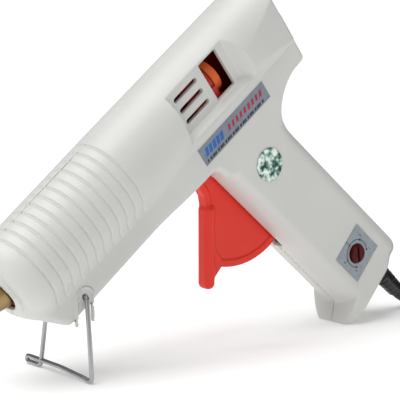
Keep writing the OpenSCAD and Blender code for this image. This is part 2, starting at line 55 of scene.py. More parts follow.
SEAL_AT = (130.5, -46.2)

COS, SIN = math.cos(TILT), math.sin(TILT)


def centre_of(node):
    low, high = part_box(node)
    return (low + high) / 2


seal_centre = centre_of("seal_sticker") / MM
BASE_X = seal_centre.x - (SEAL_AT[0] * COS - SEAL_AT[1] * SIN)
BASE_Z = seal_centre.z - (SEAL_AT[0] * SIN + SEAL_AT[1] * COS)


def standing(points):
    """Points of the level gun, in mm, as points of the standing gun, in metres."""
    p = np.asarray(points, float).reshape(-1, 3)
    x = p[:, 0] * COS - p[:, 2] * SIN + BASE_X
    z = p[:, 0] * SIN + p[:, 2] * COS + BASE_Z
    return np.stack([x, p[:, 1], z], 1) * MM


def standing_turn(vectors):
    """Directions of the level gun turned into the standing gun's."""
    v = np.asarray(vectors, float).reshape(-1, 3)
    return np.stack([v[:, 0] * COS - v[:, 2] * SIN, v[:, 1], v[:, 0] * SIN + v[:, 2] * COS], 1)


# ---- camera, floor and light ----


def add_camera():
    target = Vector((-0.08296, 0, 0.06633))
    back = Vector((-0.6392, -0.7535, 0.1540)).normalized()
    data = bpy.data.cameras.new("camera")
    data.lens, data.sensor_width = 149.8, 36
    data.clip_start, data.clip_end = 0.05, 20
    camera = bpy.data.objects.new("camera", data)
    camera.location = target + back * 0.7254
    camera.rotation_euler = (-back).to_track_quat("-Z", "Y").to_euler()
    bpy.context.scene.collection.objects.link(camera)
    bpy.context.scene.camera = camera


def add_sun(name, towards, strength, softness):
    """Soft light from far away, coming from the direction towards."""
    data = bpy.data.lights.new(name, "SUN")
    data.energy, data.angle = strength, math.radians(softness)
    light = bpy.data.objects.new(name, data)
    light.rotation_euler = Vector(towards).to_track_quat("Z", "Y").to_euler()
    bpy.context.scene.collection.objects.link(light)


add_camera()
add_sun("key", (-0.45, 0.05, 1.0), 2.5, 55)
add_sun("fill", (-0.5, -1.0, 0.35), 0.22, 70)

# ---- materials ----


class Surface:
    """A node material, with short calls for the nodes that every surface here uses."""

    def __init__(self, name, rough=0.4, metal=0.0):
        self.material = bpy.data.materials.new(name)
        self.material.use_nodes = True
        self.tree = self.material.node_tree
        self.shader = self.tree.nodes["Principled BSDF"]
        self.shader.inputs["Metallic"].default_value = metal
        self.shader.inputs["Roughness"].default_value = rough
        self.place = self.tree.nodes.new("ShaderNodeTexCoord").outputs["Object"]

    def link(self, a, b):
        self.tree.links.new(a, b)

    def noise(self, scale, detail=3.0):
        node = self.tree.nodes.new("ShaderNodeTexNoise")
        node.inputs["Scale"].default_value = scale
        node.inputs["Detail"].default_value = detail
        self.link(self.place, node.inputs["Vector"])
        return node.outputs["Fac"]

    def ramp(self, value, stops):
        node = self.tree.nodes.new("ShaderNodeValToRGB")
        while len(node.color_ramp.elements) < len(stops):
            node.color_ramp.elements.new(0.5)
        for element, (at, colour) in zip(node.color_ramp.elements, stops):
            element.position, element.color = at, (*colour, 1)
        self.link(value, node.inputs["Fac"])
        return node.outputs["Color"]

    def colour(self, value, stops):
        self.link(self.ramp(value, stops), self.shader.inputs["Base Color"])

    def roughness(self, value, low, high):
        node = self.tree.nodes.new("ShaderNodeMapRange")
        node.inputs["To Min"].default_value, node.inputs["To Max"].default_value = low, high
        self.link(value, node.inputs["Value"])
        self.link(node.outputs["Result"], self.shader.inputs["Roughness"])

    def bump(self, value, strength, distance):
        node = self.tree.nodes.new("ShaderNodeBump")
        node.inputs["Strength"].default_value = strength
        node.inputs["Distance"].default_value = distance
        self.link(value, node.inputs["Height"])
        self.link(node.outputs["Normal"], self.shader.inputs["Normal"])


def tinted(colour, factor):
    return tuple(min(1.0, c * factor) for c in colour)


def moulded(name, colour, rough=(0.35, 0.5), spread=0.06, grain=1400, depth=0.00004, metal=0.0):
    """Moulded or drawn stuff: slow shifts of tint, uneven gloss and a fine grain."""
    s = Surface(name, metal=metal)
    s.colour(s.noise(45), [(0.3, tinted(colour, 1 - spread)), (0.7, tinted(colour, 1 + spread))])
    s.roughness(s.noise(160, 4), *rough)
    s.bump(s.noise(grain, 2), 0.25, depth)
    return s.material


def metal_wire(name, colour, rough=(0.18, 0.38)):
    """Bright drawn metal with fine streaks."""
    return moulded(name, colour, rough, spread=0.1, grain=2600, depth=0.00002, metal=1.0)


def foil(name, stops, rough=(0.2, 0.42), scale=420, metal=0.75):
    s = Surface(name, metal=metal)
    s.colour(s.noise(scale, 5), stops)
    s.roughness(s.noise(900, 2), *rough)
    s.bump(s.noise(700, 3), 0.2, 0.00005)
    return s.material


def casing_material():
    s = Surface("casing_white")
    s.colour(s.noise(30, 4), [(0.25, (0.63, 0.635, 0.605)), (0.75, (0.67, 0.675, 0.65))])
    s.roughness(s.noise(220, 4), 0.33, 0.46)
    s.bump(s.noise(1800, 2), 0.12, 0.00004)
    s.shader.inputs["Subsurface Weight"].default_value = 0.06
    s.shader.inputs["Subsurface Radius"].default_value = (0.002, 0.002, 0.0018)
    return s.material


def knob_material():
    s = Surface("knob_red")
    s.colour(s.noise(300, 3), [(0.3, (0.045, 0.002, 0.003)), (0.7, (0.10, 0.004, 0.005))])
    s.roughness(s.noise(400, 3), 0.2, 0.34)
    s.bump(s.noise(900, 2), 0.1, 0.00003)
    s.shader.inputs["Specular IOR Level"].default_value = 0.12
    return s.material


STEEL = metal_wire("steel_screw", (0.60, 0.60, 0.62))
SPRING = metal_wire("steel_spring", (0.52, 0.53, 0.56))
WIRE = metal_wire("stand_steel", (0.40, 0.40, 0.41), (0.10, 0.24))
BRASS = metal_wire("nozzle_brass", (0.34, 0.24, 0.11), (0.28, 0.48))
ALLOY = moulded("cast_alloy", (0.62, 0.63, 0.65), (0.35, 0.6), 0.08, 900, 0.00008, 1.0)
WHITE = casing_material()
RED = moulded("trigger_red", (0.80, 0.022, 0.005), (0.42, 0.56), 0.06)
CARRIAGE_RED = moulded("carriage_red", (0.62, 0.03, 0.02), (0.3, 0.45), 0.08)
CLAMP_ORANGE = moulded("clamp_orange", (1.0, 0.16, 0.03), (0.35, 0.5), 0.1)
LINER_RED = moulded("liner_red", (0.42, 0.010, 0.008), (0.35, 0.5), 0.15)
SLEEVE_RED = moulded("sleeve_red", (0.45, 0.04, 0.03), (0.4, 0.6), 0.1)
KNOB = knob_material()
SILICONE = moulded("seal_silicone", (0.50, 0.10, 0.08), (0.5, 0.7), 0.1)
CERAMIC = moulded("heater_white", (0.72, 0.71, 0.66), (0.6, 0.8), 0.08, 700, 0.0001)
FIBRE = moulded("bracket_fibre", (0.32, 0.17, 0.08), (0.6, 0.8), 0.2, 500, 0.0001)
GLASS = moulded("sensor_glass", (0.05, 0.05, 0.055), (0.08, 0.2), 0.3)
LEAD = moulded("lead_sleeving", (0.70, 0.69, 0.62), (0.6, 0.8), 0.12, 1600, 0.0001)
BLACK = moulded("guide_black", (0.018, 0.018, 0.019), (0.4, 0.6), 0.3)
BOARD = moulded("board_green", (0.03, 0.13, 0.05), (0.3, 0.45), 0.3, 800)
FILM = moulded("film_yellow", (0.52, 0.36, 0.06), (0.25, 0.4), 0.15)
TERMINAL = moulded("terminal_white", (0.72, 0.71, 0.66), (0.35, 0.5), 0.08)
BLUE_WIRE = moulded("wire_blue", (0.03, 0.10, 0.45), (0.4, 0.55), 0.15)
CORD = moulded("cord_black", (0.014, 0.014, 0.015), (0.42, 0.62), 0.35, 900, 0.00006)
RELIEF = moulded("relief_black", (0.016, 0.016, 0.017), (0.22, 0.38), 0.35, 1100, 0.00005)
PLUG = moulded("plug_black", (0.016, 0.016, 0.017), (0.35, 0.55), 0.3, 1000, 0.00006)
TIE = moulded("tie_black", (0.03, 0.03, 0.03), (0.4, 0.6), 0.3)
LABEL = foil("label_blue_grey", [(0.3, (0.18, 0.215, 0.26)), (0.7, (0.235, 0.27, 0.33))], metal=0.35)
DIAL = foil("dial_blue_grey", [(0.3, (0.24, 0.275, 0.31)), (0.7, (0.31, 0.345, 0.38))], metal=0.3)
SEAL = foil(
    "seal_foil",
    [
        (0.38, (0.02, 0.05, 0.04)), (0.47, (0.16, 0.30, 0.24)),
        (0.54, (0.55, 0.66, 0.60)), (0.64, (0.85, 0.88, 0.86)),
    ],
    (0.15, 0.35), 330, 0.7)
INK = moulded("ink_dark", (0.02, 0.022, 0.03), (0.4, 0.55), 0.3)
INK_RED = moulded("ink_red", (0.42, 0.02, 0.05), (0.4, 0.55), 0.15)
INK_BLUE = moulded("ink_blue", (0.01, 0.12, 0.42), (0.4, 0.55), 0.15)

# CAD nodes that stay as they are: their material and the record's slot
FINISHES = {
    "casing_screws": (STEEL, "screw_steel"), "board_screws": (STEEL, "screw_steel"),
    "clamp_screws": (STEEL, "screw_steel"), "sleeve_clamp": (STEEL, "screw_steel"),
    "drive_pin": (STEEL, "screw_steel"), "trigger_pin": (STEEL, "screw_steel"),
    "clamp_pin": (STEEL, "screw_steel"), "spring_post": (STEEL, "screw_steel"),
    "thermal_fuse": (STEEL, "screw_steel"), "valve_ball": (STEEL, "screw_steel"),
    "valve_spring": (SPRING, "spring_steel"), "return_spring": (SPRING, "spring_steel"),
    "nozzle": (BRASS, "nozzle_brass"), "nose_seal": (SILICONE, "seal_silicone"),
    "melt_chamber": (ALLOY, "chamber_alloy"), "heater_plate": (CERAMIC, "heater_ceramic"),
    "front_bracket": (FIBRE, "bracket_fibre"), "rear_bracket": (FIBRE, "bracket_fibre"),
    "temperature_sensor": (GLASS, "sensor_glass"), "heater_leads": (LEAD, "lead_sleeving"),
    "feed_sleeve": (SLEEVE_RED, "seal_silicone"), "rear_guide": (BLACK, "guide_plastic"),
    "carriage": (CARRIAGE_RED, "carriage_plastic"), "stick_clamp": (CLAMP_ORANGE, "clamp_plastic"),
    "potentiometer": (BLACK, "component_black"), "triac": (BLACK, "component_black"),
    "control_board": (BOARD, "board_laminate"), "capacitor": (FILM, "component_film"),
    "terminal_block": (TERMINAL, "terminal_plastic"), "cord_clamp": (TERMINAL, "terminal_plastic"),
    "supply_wires": (BLUE_WIRE, "wire_plastic"), "inner_sheath": (CORD, "cord_rubber"),
    "plug_pins": (BRASS, "pin_brass"), "name_label": (LABEL, "name_foil"),
    "seal_sticker": (SEAL, "seal_foil"), "dial_label": (DIAL, "dial_print"),
}
for node, (material, slot) in FINISHES.items():
    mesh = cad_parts[node].data
    mesh.materials.clear()
    mesh.materials.append(material)

# ---- meshes ----


def add_mesh(name, points, faces, material, body, replaces=(), normals=None):
    mesh = bpy.data.meshes.new(name)
    mesh.from_pydata(np.asarray(points).tolist(), [], [list(f) for f in faces])
    mesh.shade_smooth()
    if normals is not None:
        mesh.normals_split_custom_set_from_vertices(np.asarray(normals).tolist())
    mesh.materials.append(material)
    mesh.update()
    obj = bpy.data.objects.new(name, mesh)
    bpy.context.scene.collection.objects.link(obj)
    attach(obj, body)
    if replaces:
        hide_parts(*replaces)
    return obj


def tube(points, radius, sides=16):
    """Mesh of a round wire along points, with closed ends."""
    p = np.asarray(points, float)
    n = len(p)
    along = np.gradient(p, axis=0)
    along /= np.linalg.norm(along, axis=1)[:, None]
    across = np.cross(along[0], (0, 0, 1) if abs(along[0][2]) < 0.9 else (0, 1, 0))
    rings = []
    turn = 2 * np.pi * np.arange(sides) / sides
    for at, t in zip(p, along):
        across = across - t * across.dot(t)
        across /= np.linalg.norm(across)
        other = np.cross(t, across)
        rings.append(at + radius * (np.cos(turn)[:, None] * across + np.sin(turn)[:, None] * other))
    faces = [
        (i * sides + k, i * sides + (k + 1) % sides, (i + 1) * sides + (k + 1) % sides, (i + 1) * sides + k)
        for i in range(n - 1) for k in range(sides)
    ]
    faces.append(tuple(range(sides - 1, -1, -1)))
    faces.append(tuple((n - 1) * sides + k for k in range(sides)))
    return np.concatenate(rings), faces


# Corners of a grid cell, and its edges as pairs of corners
CORNERS = np.array([(i, j, k) for i in (0, 1) for j in (0, 1) for k in (0, 1)])
EDGES = [(a, b) for a in range(8) for b in range(a + 1, 8) if abs(CORNERS[a] - CORNERS[b]).sum() == 1]


def gradient(field, p, step):
    g = np.empty_like(p)
    for axis in range(3):
        d = np.zeros(3)
        d[axis] = step
        high, low = p + d, p - d
        g[:, axis] = field(high[:, 0], high[:, 1], high[:, 2]) - field(low[:, 0], low[:, 1], low[:, 2])
    return g / (2 * step)


def mesh_of(field, xs, ys, zs, sharp=0.12):
    """Points, quads and normals of the surface where field is 0: one point in each cell that it crosses."""
    axes = [np.asarray(a, float) for a in (xs, ys, zs)]
    values = field(axes[0][:, None, None], axes[1][None, :, None], axes[2][None, None, :])
    inside = values < 0
    nx, ny, nz = np.array(inside.shape) - 1
    counts = sum(inside[i:nx + i, j:ny + j, k:nz + k].astype(np.int8) for i, j, k in CORNERS)
    cells = np.argwhere((counts > 0) & (counts < 8))
    at = cells[:, None, :] + CORNERS[None]
    corner_value = values[at[..., 0], at[..., 1], at[..., 2]]
    corner_place = np.stack([axes[d][at[..., d]] for d in range(3)], -1)
    total, crossings = np.zeros((len(cells), 3)), np.zeros(len(cells))
    for a, b in EDGES:
        va, vb = corner_value[:, a], corner_value[:, b]
        cut = (va < 0) != (vb < 0)
        share = np.where(cut, va / np.where(cut, va - vb, 1), 0)[:, None]
        place = corner_place[:, a] + share * (corner_place[:, b] - corner_place[:, a])
        total += np.where(cut[:, None], place, 0)
        crossings += cut
    points = total / crossings[:, None]
    limit = 0.5 * (corner_place[:, 7] - corner_place[:, 0])
    start = points.copy()
    for _ in range(3):
        g = gradient(field, points, 0.03)
        f = field(points[:, 0], points[:, 1], points[:, 2])
        points = points - g * (f / np.maximum((g * g).sum(1), 0.05))[:, None]
        points = np.clip(points, start - limit, start + limit)
    normals = gradient(field, points, sharp)
    normals /= np.maximum(np.linalg.norm(normals, axis=1), 1e-6)[:, None]
    index = -np.ones(counts.shape, np.int64)
    index[tuple(cells.T)] = np.arange(len(cells))
    quads = []
    for axis in range(3):
        low = np.moveaxis(inside, axis, 0)
        ids = np.moveaxis(index, axis, 0)
        change = low[:-1, 1:-1, 1:-1] != low[1:, 1:-1, 1:-1]
        i, j, k = np.argwhere(change).T
        quad = np.stack([ids[i, j, k], ids[i, j + 1, k], ids[i, j + 1, k + 1], ids[i, j, k + 1]], 1)
        solid_below = low[i, j + 1, k + 1]
        if axis == 1:
            solid_below = ~solid_below
        quads.append(np.where(solid_below[:, None], quad, quad[:, ::-1]))
    return points, np.concatenate(quads), normals


def spaced(low, high, step):
    return np.linspace(low, high, int(math.ceil((high - low) / step)) + 1)


def add_moulding(name, field, grid, material, body, replaces=()):
    """Adds the surface of a field of the level gun, meshed on the grid of xs, ys and zs."""
    points, quads, normals = mesh_of(field, *grid)
    return add_mesh(name, standing(points), quads, material, body, replaces, standing_turn(normals))


def add_lying(name, field, grid, at, material, replaces):
    """Adds the surface of a field that lies on the table with its own middle at the point at."""
    points, quads, normals = mesh_of(field, *grid)
    return add_mesh(name, (points + at) * MM, quads, material, "housing", replaces, normals)


# ---- distance fields, in mm: negative inside ----


def both(a, b, r=0.0):
    """Where both solids are, with the edge between them rounded to radius r."""
    if np.isscalar(r) and r == 0:
        return np.maximum(a, b)
    return np.minimum(np.maximum(a, b), -r) + np.hypot(np.maximum(a + r, 0), np.maximum(b + r, 0))


def either(a, b, r=0.0):
    """Where either solid is, with a fillet of radius r between them."""
    return -both(-a, -b, r)


def around(centre, r, degrees):
    """Point on a circle."""
    a = math.radians(degrees)
    return (centre[0] + r * math.cos(a), centre[1] + r * math.sin(a))


def ease(low, high, x):
    """Smooth step from 0 at low to 1 at high."""
    t = np.clip((x - low) / (high - low), 0, 1)
    return t * t * (3 - 2 * t)


def cylinder(x, z, at, r):
    return np.hypot(x - at[0], z - at[1]) - r


def slab(x, low, high):
    return np.maximum(low - x, x - high)


def plane(x, z, a, b):
    """Distance of [x, z] to the right of the line from a to b."""
    d = np.subtract(b, a) / math.dist(a, b)
    return (x - a[0]) * d[1] - (z - a[1]) * d[0]


def capsule(u, v, w, a, b, r):
    a, b = np.asarray(a, float), np.asarray(b, float)
    d = b - a
    t = np.clip(((u - a[0]) * d[0] + (v - a[1]) * d[1]) / d.dot(d), 0, 1)
    return np.sqrt((u - a[0] - t * d[0]) ** 2 + (v - a[1] - t * d[1]) ** 2 + w * w) - r


def rounded(points, radii, steps=16):
    """Outline with an arc of its own radius in each corner."""
    p = [np.array(q, float) for q in points]
    made = []
    for i, r in enumerate(radii):
        if r == 0:
            made.append(p[i])
            continue
        u = p[i - 1] - p[i]
        v = p[(i + 1) % len(p)] - p[i]
        u, v = u / np.linalg.norm(u), v / np.linalg.norm(v)
        half = math.acos(u.dot(v)) / 2
        centre = p[i] + (u + v) / np.linalg.norm(u + v) * r / math.sin(half)
        touch = p[i] + u * (centre - p[i]).dot(u) - centre
        turn = -(u[0] * v[1] - u[1] * v[0])
        sweep = math.copysign(math.pi - 2 * half, turn)
        start = math.atan2(touch[1], touch[0])
        for k in range(steps + 1):
            a = start + sweep * k / steps
            made.append(centre + r * np.array([math.cos(a), math.sin(a)]))
    return np.array(made)


class Outline:
    """Distance to a closed outline, tabulated on a grid and read between its points."""

    def __init__(self, points, margin=8.0, step=0.5):
        self.low = points.min(0) - margin
        size = np.ceil((points.max(0) + margin - self.low) / step).astype(int) + 1
        self.step, self.size = step, size
        x = self.low[0] + step * np.arange(size[0])[:, None]
        z = self.low[1] + step * np.arange(size[1])[None, :]
        nearest = np.full(tuple(size), 1e9)
        within = np.zeros(tuple(size), bool)
        for a, b in zip(points, np.roll(points, -1, 0)):
            d = b - a
            t = np.clip(((x - a[0]) * d[0] + (z - a[1]) * d[1]) / d.dot(d), 0, 1)
            nearest = np.minimum(nearest, (x - a[0] - t * d[0]) ** 2 + (z - a[1] - t * d[1]) ** 2)
            if a[1] != b[1]:
                crosses = (z < a[1]) != (z < b[1])
                within ^= crosses & (x < a[0] + d[0] * (z - a[1]) / d[1])
        self.table = np.sqrt(nearest) * np.where(within, -1, 1)

    def __call__(self, x, z):
        u = np.clip((x - self.low[0]) / self.step, 0, self.size[0] - 1.001)
        v = np.clip((z - self.low[1]) / self.step, 0, self.size[1] - 1.001)
        i, j = u.astype(int), v.astype(int)
        s, t = u - i, v - j
        i, j = np.broadcast_arrays(i, j)
        return (
            self.table[i, j] * (1 - s) * (1 - t) + self.table[i + 1, j] * s * (1 - t)
            + self.table[i, j + 1] * (1 - s) * t + self.table[i + 1, j + 1] * s * t
        )


# ---- casing ----

CASING_LEN, BARREL_R, FRONT_R = 175.5, 19.4, 18.9
NOSE_END, NOSE_FLAT_R = 12, 12         # where the rounded nose ends, and the radius of its flat front
GROOVE_AT, GROOVE_PITCH, GROOVE_COUNT = 13, 5.0, 12
GROOVE_DEPTH, GROOVE_HALF = 0.5, 0.6
TAPER_END = 75                         # where the barrel reaches its full radius
NARROW_FROM, NARROW_RUN, NARROW_BY = 138, 37.5, 4.0
NARROW_R = (NARROW_RUN ** 2 + NARROW_BY ** 2) / (2 * NARROW_BY)
KEEL_HALF, HANDLE_HALF, KEEL_Z = 12.2, 15.3, -28.2
COLUMN_HALF = 15.35                    # half width of the rounding across the handle's front
FRONT_AT = (109.2, -35.0)
PIVOT = (118.0, -47.0)
DIAL_AT = (146.2, -116.4)
EXIT_AT = (159.9, -138.1)
STAND_AT = (24.2, -23.1)
POST_AT = (146.5, -30.37)
POCKET_Y, WALL = -13.2, 2.4
POCKET_X, POCKET_LOW = (101.5, 142.4), -6.7
WINDOW_X, WINDOW_Z = (126.5, 138), (-6, 13.3)
SLOT_X, SLOT_LEVELS, SLOT_R = (108.5, 121.4), (9.6, 3.85, -1.9), 1.1
NOSE_HOLE_R, REAR_HOLE_R, CORD_HOLE_R = 8.2, 9.1, 4.1
PIN_HOLE_R, LEG_HOLE_R, KNOB_HOLE_R = 2.05, 1.05, 4.6
BOSS_R, POST_BOSS_R = 4.2, 3.2
RIM_R, RIM_HALF, RIM_DOWN = 4, 0.6, 12
HEAD_R, SHANK_R, BLIND_R = 3.1, 1.6, 1.5
# Casing screws as x, z and the y of the head's seat
SCREWS = [
    (13.5, -19.5, 5), (84, -21.5, 6), (90, 12.9, 7), (158, 12.9, 7),
    (163, -14.5, 8), (134, -88, 8), (152, -74.5, 8), (138, -132, 8),
]
LIP_FRONT = ((131.6, -137.0), (120.4, -146.8))
BACK = ((172.1, -135.7), (146.6, -23.6))
SIDE = Outline(rounded(
    [(1.2, 4), (1.2, -13.5), (12, KEEL_Z), (107.7, KEEL_Z), *LIP_FRONT, *BACK,
     (CASING_LEN + 6, -23.6), (CASING_LEN + 6, 4)],
    [0, 3, 2.5, 5, 2.5, 1.7, 6, 18.7, 0, 0]))
GROOVES = GROOVE_AT + GROOVE_PITCH * np.arange(GROOVE_COUNT)


def barrel(x, y, z):
    r = np.hypot(y, z)
    full = FRONT_R + (BARREL_R - FRONT_R) * np.clip((x - GROOVE_AT) / (TAPER_END - GROOVE_AT), 0, 1)
    nearest = np.abs((x - GROOVE_AT + GROOVE_PITCH / 2) % GROOVE_PITCH - GROOVE_PITCH / 2)
    groove = GROOVE_DEPTH * np.clip(1 - (nearest / GROOVE_HALF) ** 2, 0, 1)
    straight = r - full + np.where((x > GROOVES[0] - 3) & (x < GROOVES[-1] + 3), groove, 0)
    ahead, out = np.maximum(NOSE_END - x, 0), np.maximum(r - NOSE_FLAT_R, 0)
    nose = (np.hypot(ahead / 10.5, out / (FRONT_R - NOSE_FLAT_R)) - 1) * 7.5
    shape = np.where(x < NOSE_END, nose, straight)
    shape = either(shape, both(r - 11.6, -x, 0.5), 0.4)
    narrow = np.clip(x - NARROW_FROM, 0, 40)
    half = BARREL_R - NARROW_R + np.sqrt(NARROW_R * NARROW_R - narrow * narrow)
    return both(shape, np.abs(y) - half, 0.3)


def on_handle(x, z, at):
    """Distances from the point at: into the handle, and up along it."""
    u, v = x - at[0], z - at[1]
    return u * math.cos(LEAN) + v * math.sin(LEAN), -u * math.sin(LEAN) + v * math.cos(LEAN)


def handle_and_keel(x, y, z):
    wide = np.abs(y)
    half = np.interp(np.clip(x, 1.2, 40), [1.2, 6, 10], [9.5, 11.6, KEEL_HALF])
    half = half + (HANDLE_HALF - KEEL_HALF) * ease(66, 102, x)
    depth = on_handle(x, z, FRONT_AT)[0]
    edge_r = 3 + 5 * ease(-16, -7, plane(x, z, *BACK)) * ease(-22, -38, z)
    front = np.maximum(7 - depth, 0)
    keel = ease(-37, -28.5, z)
    column = (np.hypot(front / 7, wide / COLUMN_HALF) - 1) * 9 * (1 - keel) - 14 * keel
    tongue = (((front / 20) ** 1.7 + (wide / COLUMN_HALF) ** 1.7) ** (1 / 1.7) - 1) * 14
    tongue = both(tongue, plane(x, z, *LIP_FRONT), 0.8)
    shape = both(SIDE(x, z), wide - half, edge_r)
    return both(shape, either(column, tongue, 0.8), 0.5)


def pocket(x, y, z):
    """The space in front of the recessed flat with the window, its lower and rear walls sloping."""
    low = (POCKET_LOW - 0.3 * (POCKET_Y - y) - z) * 0.957
    rear = (x - POCKET_X[1] - (POCKET_Y - y) * 0.763) * 0.795
    front = POCKET_X[0] + 0.14 * (z + 8.4) - x
    return both(both(both(y - POCKET_Y, rear, 0.7), low, 0.7), front)


def outside(x, y, z):
    fillet = 2.5 - 1.5 * ease(75, 100, x) - 0.7 * ease(128, 158, x)
    shape = either(barrel(x, y, z), handle_and_keel(x, y, z), fillet)
    shape = both(shape, x - CASING_LEN, 2.6)
    return np.maximum(shape, 0.05 - (x * SIN + z * COS + BASE_Z))


def leg_rim(x, y, z):
    """Low arch-shaped rim round the stand's leg, open downwards."""
    u, v = x - STAND_AT[0], z - STAND_AT[1]
    down = -(u * SIN + v * COS)
    side = u * COS - v * SIN
    ring = np.where(down > 0, np.abs(side), np.hypot(u, v))
    wide = np.abs(y)
    ridge = both(np.abs(ring - RIM_R) - RIM_HALF, wide - KEEL_HALF - 0.35, 0.25)
    return np.maximum(ridge, np.maximum(down - RIM_DOWN, 11 - wide))


def shell(x, y, z, outer, seam):
    """Wall of one half of the casing, with its bosses and openings. seam is negative on its side."""
    bosses = np.minimum(cylinder(x, z, PIVOT, BOSS_R), cylinder(x, z, POST_AT, POST_BOSS_R))
    bosses = np.maximum(bosses, 5 - np.abs(y))
    for a, b, _ in SCREWS:
        bosses = np.minimum(bosses, cylinder(x, z, (a, b), BOSS_R))
    wall = np.minimum(np.maximum(outer, np.minimum(-(outer + WALL), bosses)), leg_rim(x, y, z))
    r = np.hypot(y, z)
    depth, up = on_handle(x, z, FRONT_AT)
    slot = both(slab(x, 95.5, 111.5), slab(z, -34, -25))
    slot = np.minimum(slot, both(slab(depth, -6, 5), slab(up, -57, 3)))
    wall = both(wall, -np.maximum(slot, np.abs(y) - 3), 0.35)
    side, above = on_handle(x, z, EXIT_AT)
    for hole in (
        np.maximum(r - NOSE_HOLE_R, x - 10.2),
        np.maximum(r - REAR_HOLE_R, CASING_LEN - 8 - x),
        np.maximum(np.hypot(side, y) - CORD_HOLE_R, above - 8),
        np.maximum(cylinder(x, z, PIVOT, PIN_HOLE_R), np.abs(y) - 12.8),
        cylinder(x, z, STAND_AT, LEG_HOLE_R),
    ):
        wall = both(wall, -hole, 0.2)
    return both(wall, seam, 0.3)


def left_field(x, y, z):
    outer = both(outside(x, y, z), -pocket(x, y, z), 0.35)
    wall = shell(x, y, z, outer, y + 0.06)
    openings = both(slab(x, *WINDOW_X), slab(z, *WINDOW_Z), 0.4)
    for level in SLOT_LEVELS:
        vent = capsule(x, z, 0, (SLOT_X[0], level), (SLOT_X[1], level), SLOT_R)
        openings = np.minimum(openings, vent)
    openings = np.minimum(openings, cylinder(x, z, DIAL_AT, KNOB_HOLE_R))
    wall = both(wall, -np.maximum(openings, y + 9), 0.22)
    blind = np.minimum.reduce([cylinder(x, z, s[:2], BLIND_R) for s in SCREWS])
    return both(wall, -np.maximum(blind, -9 - y), 0.2)


def right_field(x, y, z):
    wall = shell(x, y, z, outside(x, y, z), 0.06 - y)
    for a, b, seat in SCREWS:
        wall = both(wall, -np.maximum(cylinder(x, z, (a, b), HEAD_R), seat - y), 0.2)
        wall = np.maximum(wall, -cylinder(x, z, (a, b), SHANK_R))
    return wall


# The casing's grid, close-set across each groove
STEP = 0.66
groove_steps = (-0.75, -0.5, -0.25, 0.0, 0.25, 0.5, 0.75, 1.6, -1.6)
long_steps = np.sort(np.concatenate([
    spaced(-1, 10.6, STEP), *[g + np.array(groove_steps) for g in GROOVES], spaced(70.6, 177, STEP),
]))
high_steps = spaced(-149, 20.6, STEP)
for name, field, wide_steps in (
    ("casing_left", left_field, spaced(-20.2, 0.9, STEP)),
    ("casing_right", right_field, spaced(-0.9, 20.2, STEP)),
):
    add_moulding(name + "_shell", field, (long_steps, wide_steps, high_steps), WHITE,
                 "housing", [name])


def liner_field(x, y, z):
    """Red plate inside the far half, behind the window."""
    return both(both(slab(x, 99, 157), slab(z, -26.5, 9.5), 1.5), slab(y, 11, 12.2), 0.4)


add_moulding(
    "stick_liner", liner_field, (spaced(98, 158, 0.8), spaced(10.4, 12.8, 0.4), spaced(-27.5, 10.3, 0.8)),
    LINER_RED, "housing")

# ---- trigger ----

FAN_R, FAN_TOP_R, FAN_HALF, LEVER_R = 38.0, 24, 2.5, 2.75
LEVER_TOP, LEVER_FOOT = (99.9, -47.8), (80.4, -73.5)
CHEEK, HUB_R, DRIVE_HOLE_R = (2.6, 4.6), 3, 1.52
ARM_LEAN = math.radians(12)
DRIVE_AT = (PIVOT[0] + 34 * math.sin(ARM_LEAN), PIVOT[1] + 34 * math.cos(ARM_LEAN))
HOOK_AT = (PIVOT[0] + 17 * math.sin(ARM_LEAN), PIVOT[1] + 17 * math.cos(ARM_LEAN))
TRIGGER_SIDE = Outline(np.array(
    [around(PIVOT, FAN_TOP_R, a) for a in range(135, 89, -5)]
    + [(123, -43), (123, -51)]
    + [around(PIVOT, FAN_R, a) for a in range(292, 221, -2)]
    + [(83.9, -73.5), LEVER_FOOT, (99.5, -44.6), (101.5, -40.6), (101.7, -36)]), 6, 0.3)


def trigger_field(x, y, z):
    wide = np.abs(y)
    side = TRIGGER_SIDE(x, z)
    rim = np.maximum(np.hypot(x - PIVOT[0], z - PIVOT[1]) - (FAN_R - 3.2), side + 3.2)
    thick = FAN_HALF - 0.55 * ease(0.4, -0.4, both(rim, 92 - x))
    web = both(side, wide - thick, 0.4)
    lever = capsule(x, z, np.maximum(wide - 1.25, 0), LEVER_TOP, LEVER_FOOT, LEVER_R)
    shape = either(web, lever, 0.8)
    arm = both(capsule(x, z, 0, PIVOT, DRIVE_AT, HUB_R), slab(wide, *CHEEK), 0.3)
    hub = np.minimum(cylinder(x, z, PIVOT, HUB_R), cylinder(x, z, HOOK_AT, 1))
    shape = np.minimum(np.minimum(shape, arm), both(hub, wide - CHEEK[1], 0.2))
    holes = np.minimum(cylinder(x, z, PIVOT, PIN_HOLE_R), cylinder(x, z, DRIVE_AT, DRIVE_HOLE_R))
    return both(shape, -holes, 0.15)


fine = 0.45
add_moulding(
    "trigger_moulding", trigger_field,
    (spaced(76, 129, fine), spaced(-5.4, 5.4, fine), spaced(-87, -9, fine)),
    RED, "trigger", ["trigger"])

# ---- stand ----

WIRE_R, LEG_Y, FOOT_Y, LOOP_Y = 1.0, 13.6, 17.9, 28.0


def upright_arc(x, y, z, r, degrees):
    """Arc across the gun round the point x, y, z, with its own radius in y and in z."""
    turns = [math.radians(a) for a in degrees]
    return [(x, y + r[0] * math.cos(a), z + r[1] * math.sin(a)) for a in turns]


